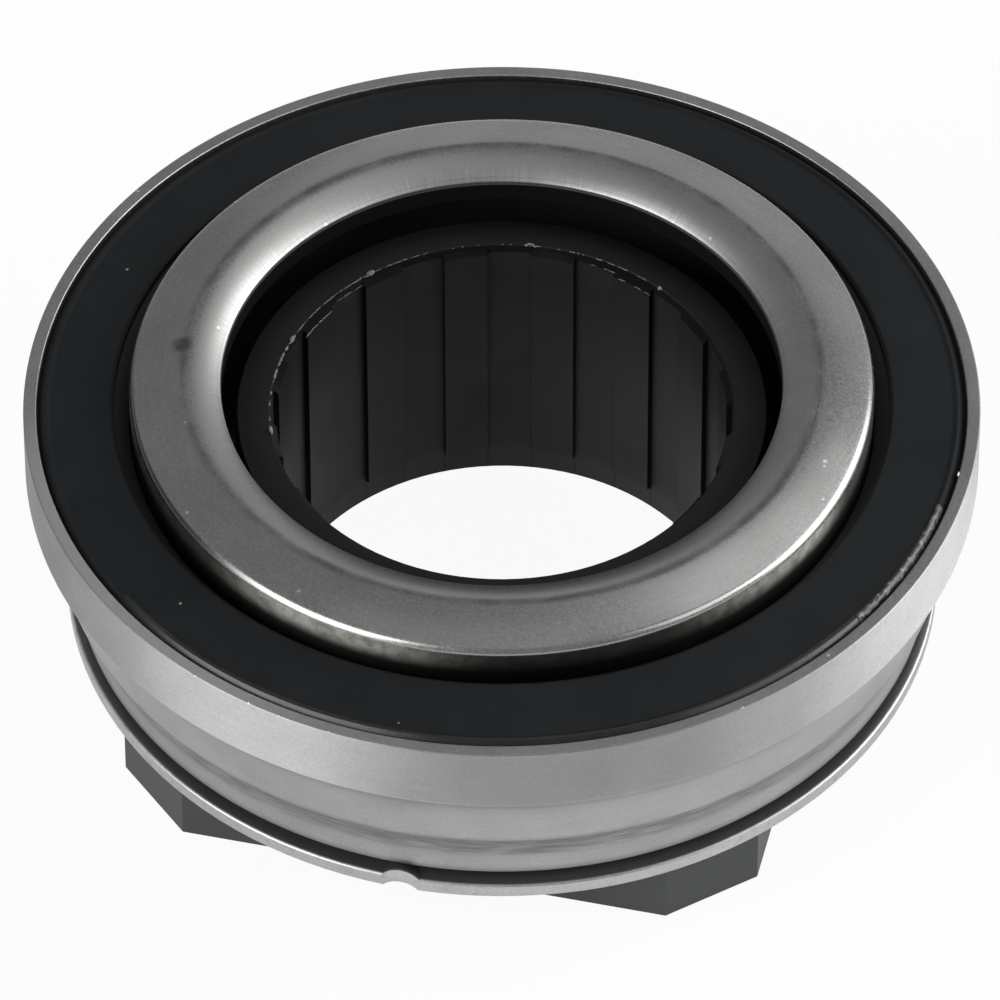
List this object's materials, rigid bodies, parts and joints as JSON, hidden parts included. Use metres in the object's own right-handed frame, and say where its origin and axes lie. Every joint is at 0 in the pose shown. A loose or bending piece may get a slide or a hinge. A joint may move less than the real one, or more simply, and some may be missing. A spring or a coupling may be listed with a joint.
{
  "type": "clutch release bearing",
  "caption": "Clutch release bearing: crowned nose ring on an angular contact ball bearing that centres itself on a black plastic guide sleeve with a steel plate for the fork.",
  "frame": {"origin": "on the bearing's axis at the rear end of the guide sleeve", "axes": "+Z along the axis towards the clutch, +X across the boss's side flats, -Y towards the plate's bead that the picture shows"},
  "size_m": [0.07, 0.07, 0.028],
  "materials": {
    "black_polyamide": "moulded satin",
    "plate_steel": "bright pressed sheet",
    "shell_steel": "drawn, satin",
    "seal_rubber": "matte",
    "nose_steel": "hardened, fine satin",
    "cage_polyamide": "moulded",
    "spring_steel": "oiled strip",
    "ball_steel": "polished"
  },
  "bodies": {
    "carrier": {"guide_sleeve": "black_polyamide", "back_plate": "plate_steel"},
    "slider": {"centring_spring": "spring_steel"},
    "bearing_shell": {"outer_ring": "shell_steel", "front_seal": "seal_rubber", "rear_seal": "seal_rubber"},
    "nose": {"inner_ring": "nose_steel"},
    "rolling_set": {"ball_cage": "cage_polyamide", "ball_01": "ball_steel", "ball_02": "ball_steel", "ball_03": "ball_steel", "ball_04": "ball_steel", "ball_05": "ball_steel", "ball_06": "ball_steel", "ball_07": "ball_steel", "ball_08": "ball_steel", "ball_09": "ball_steel", "ball_10": "ball_steel", "ball_11": "ball_steel", "ball_12": "ball_steel", "ball_13": "ball_steel", "ball_14": "ball_steel", "ball_15": "ball_steel", "ball_16": "ball_steel", "ball_17": "ball_steel", "ball_18": "ball_steel", "ball_19": "ball_steel", "ball_20": "ball_steel"}
  },
  "joints": [
    {"name": "centring_x", "type": "slide", "parent": "carrier", "child": "slider", "axis": [1, 0, 0], "range_m": [-0.0005, 0.0005]},
    {"name": "centring_y", "type": "slide", "parent": "slider", "child": "bearing_shell", "axis": [0, 1, 0], "range_m": [-0.0005, 0.0005]},
    {"name": "nose_spin", "type": "hinge", "parent": "bearing_shell", "child": "nose", "pos_m": [0, 0, 0.013], "axis": [0, 0, 1], "continuous": true},
    {"name": "rolling_spin", "type": "hinge", "parent": "bearing_shell", "child": "rolling_set", "pos_m": [0, 0, 0.013], "axis": [0, 0, 1], "continuous": true}
  ],
  "couplings": [
    {"joint": "rolling_spin", "follows": "nose_spin", "ratio": 0.4572}
  ]
}
